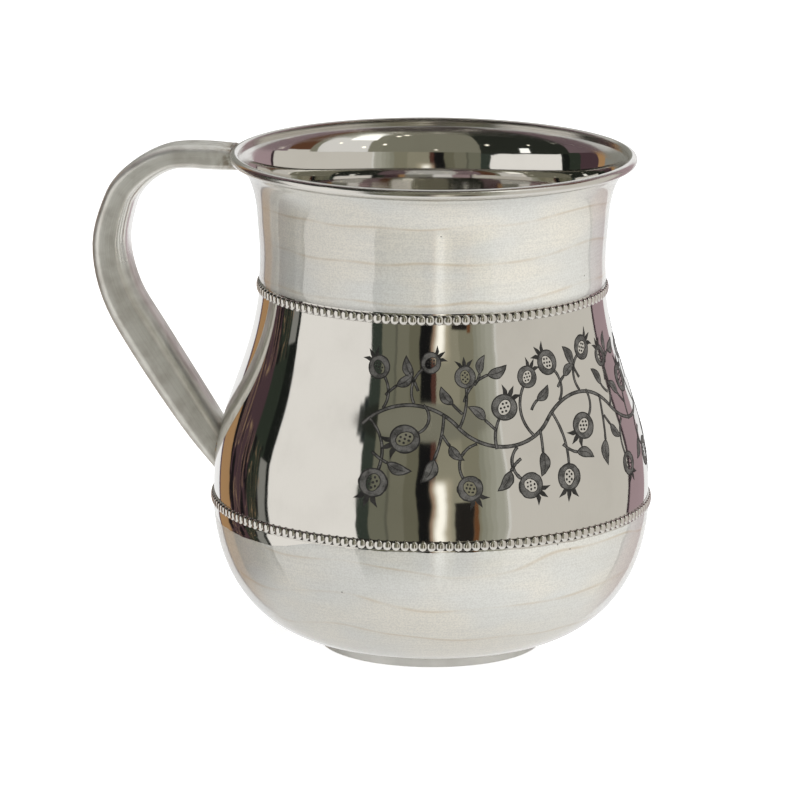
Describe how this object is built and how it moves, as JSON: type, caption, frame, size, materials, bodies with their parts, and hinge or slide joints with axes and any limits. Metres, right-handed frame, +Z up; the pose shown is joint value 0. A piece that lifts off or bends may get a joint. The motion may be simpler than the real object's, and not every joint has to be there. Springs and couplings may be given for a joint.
{
  "type": "washing cup",
  "caption": "Round-bellied steel hand-washing cup with a flared rolled lip, beaded rings, pearl-lacquered neck and bowl, a pressed foot and one tall bent-tube handle",
  "frame": {"origin": "on the cup's vertical axis, at the foot's flat underside", "axes": "+Z up along the cup's axis; the handle reaches out along -X, so X is the longest way across; the picture looks along +Y, turned 10 degrees towards the handle's back, so that the handle points a little away from the camera"},
  "size_m": [0.1476, 0.1154, 0.1309],
  "materials": {
    "polished_steel": "mirror-polished stainless steel with a faint vertical polishing grain and a dark etched fruit-branch ornament",
    "bead_steel": "bright beaded stainless wire, darker between the beads",
    "pearl_lacquer": "off-white pearl lacquer over brushed steel, with fine turning lines and thin ochre veins",
    "brushed_steel": "satin steel with fine turning lines",
    "satin_steel": "steel tube brushed along its length",
    "welded_steel": "dressed weld, slightly discoloured"
  },
  "bodies": {
    "root": {"foot": "brushed_steel", "cup_shell": "polished_steel", "upper_bead_ring": "bead_steel", "lower_bead_ring": "bead_steel", "neck_lacquer": "pearl_lacquer", "bowl_lacquer": "pearl_lacquer", "handle_tube": "satin_steel", "upper_handle_weld": "welded_steel", "lower_handle_weld": "welded_steel"}
  },
  "joints": []
}
